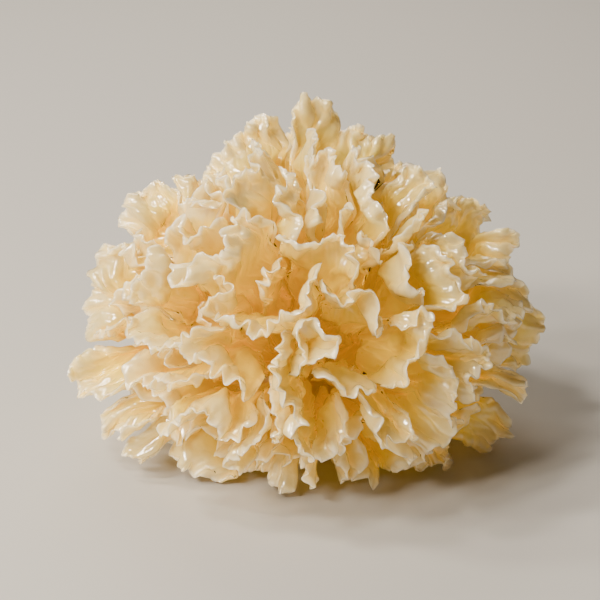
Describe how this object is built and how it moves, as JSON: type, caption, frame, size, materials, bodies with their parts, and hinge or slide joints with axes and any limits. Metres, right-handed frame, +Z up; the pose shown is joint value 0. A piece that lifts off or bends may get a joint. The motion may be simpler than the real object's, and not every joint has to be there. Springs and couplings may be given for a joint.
{
  "type": "snow fungus",
  "caption": "Frilly mound of thin, wavy, jelly-like fronds that spread from a low base with a flat cut to rest on.",
  "frame": {"origin": "centre of the flat cut under the base, on the surface that the fungus rests on", "axes": "+Z up, out of the cut and towards the crown; -Y towards the front, with the largest frond lobes; +X to the right seen from there"},
  "size_m": [0.1107, 0.1075, 0.0784],
  "materials": {
    "flesh": "wet, translucent, cream",
    "foot": "dull, firm, amber"
  },
  "bodies": {
    "root": {"base": "foot", "frond_back_crown": "flesh", "frond_back_crown_left": "flesh", "frond_back_crown_right": "flesh", "frond_back_high_left": "flesh", "frond_back_high_right": "flesh", "frond_back_low_left": "flesh", "frond_back_low_right": "flesh", "frond_back_middle": "flesh", "frond_back_middle_left": "flesh", "frond_back_middle_right": "flesh", "frond_back_skirt_left": "flesh", "frond_back_skirt_right": "flesh", "frond_back_upper_left": "flesh", "frond_back_upper_right": "flesh", "frond_central_ribbon": "flesh", "frond_central_right_ribbon": "flesh", "frond_central_tongue": "flesh", "frond_crown_left": "flesh", "frond_crown_peak": "flesh", "frond_front_low_lobe": "flesh", "frond_front_ribbon": "flesh", "frond_inner_right_ribbon": "flesh", "frond_left_back_lobe": "flesh", "frond_left_bowl_rim": "flesh", "frond_left_curl": "flesh", "frond_left_flank": "flesh", "frond_left_frilled_ribbon": "flesh", "frond_left_inner_frill": "flesh", "frond_left_long_ribbon": "flesh", "frond_left_low_lobe": "flesh", "frond_left_shoulder": "flesh", "frond_left_tongue": "flesh", "frond_lower_left_ribbon": "flesh", "frond_lower_right_ribbon": "flesh", "frond_middle_arch_ribbon": "flesh", "frond_right_arch_lobe": "flesh", "frond_right_back_ear": "flesh", "frond_right_back_lobe": "flesh", "frond_right_folded_lobe": "flesh", "frond_right_front_lobe": "flesh", "frond_right_high_ribbon": "flesh", "frond_right_hook": "flesh", "frond_right_leaf": "flesh", "frond_right_lobed_edge": "flesh", "frond_right_low_lobe": "flesh", "frond_right_ruffle": "flesh", "frond_right_shoulder": "flesh", "frond_right_side_ribbon": "flesh", "frond_right_skirt": "flesh", "frond_right_tip": "flesh", "frond_skirt_far_left": "flesh", "frond_skirt_front": "flesh", "frond_skirt_left": "flesh", "frond_skirt_right": "flesh", "frond_top_right_ribbon": "flesh", "frond_upper_left_loop": "flesh", "frond_upper_middle_ribbon": "flesh", "frond_upper_right_ribbon": "flesh", "frond_upper_s_ribbon": "flesh"}
  },
  "joints": []
}
